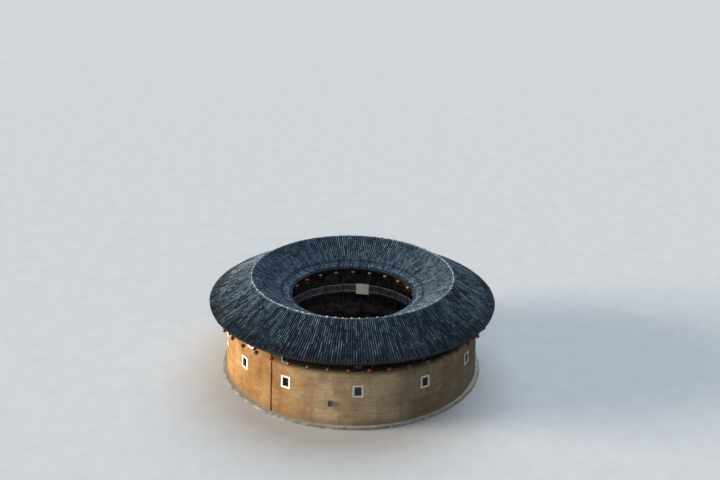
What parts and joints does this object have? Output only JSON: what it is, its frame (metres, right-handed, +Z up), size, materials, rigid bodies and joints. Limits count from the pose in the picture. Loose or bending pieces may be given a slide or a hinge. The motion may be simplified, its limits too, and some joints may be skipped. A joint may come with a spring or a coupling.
{
  "type": "ring-shaped earth house",
  "caption": "Round rammed-earth house: a battered ring wall with small windows, timber galleries round an open courtyard, and a double-pitched ring roof of grey tiles.",
  "frame": {"origin": "on the ring's axis at ground level", "axes": "+Z up; the gate faces +Y; -Y is the side seen in the picture; X runs across"},
  "size_m": [35.3, 35.3, 12.38],
  "materials": {
    "earth": "rammed earth, rough",
    "stone": "rough",
    "tiles": "unglazed grey clay tiles",
    "mortar": "lime mortar",
    "timber": "old fir, dark",
    "lantern": "cloth over wire",
    "pipe": "dull",
    "mat": "woven bamboo"
  },
  "bodies": {
    "root": {"stone_footing": "stone", "earth_wall_over_gate": "earth", "earth_wall_1": "earth", "earth_wall_2": "earth", "earth_wall_gate_left": "earth", "earth_wall_gate_right": "earth", "earth_wall_4": "earth", "earth_wall_5": "earth", "earth_wall_6": "earth", "gate_stone_frame": "stone", "gate_leaf_left": "timber", "gate_leaf_right": "timber", "stone_veranda": "stone", "second_floor": "timber", "third_floor": "timber", "timber_frame_1": "timber", "timber_frame_2": "timber", "timber_frame_3": "timber", "timber_frame_4": "timber", "timber_frame_5": "timber", "timber_frame_6": "timber", "timber_frame_7": "timber", "timber_frame_8": "timber", "timber_frame_9": "timber", "timber_frame_10": "timber", "timber_frame_11": "timber", "ground_room_front": "timber", "second_room_front": "timber", "third_room_front": "timber", "outer_roof_1": "tiles", "outer_roof_2": "tiles", "outer_roof_3": "tiles", "outer_roof_4": "tiles", "inner_roof_1": "tiles", "inner_roof_2": "tiles", "inner_roof_3": "tiles", "inner_roof_4": "tiles", "ridge_cap": "mortar", "outer_eave_frame": "timber", "outer_lanterns": "lantern", "inner_lanterns": "lantern", "wall_pipe": "pipe", "wall_box": "pipe", "rail_mat": "mat"}
  },
  "joints": []
}
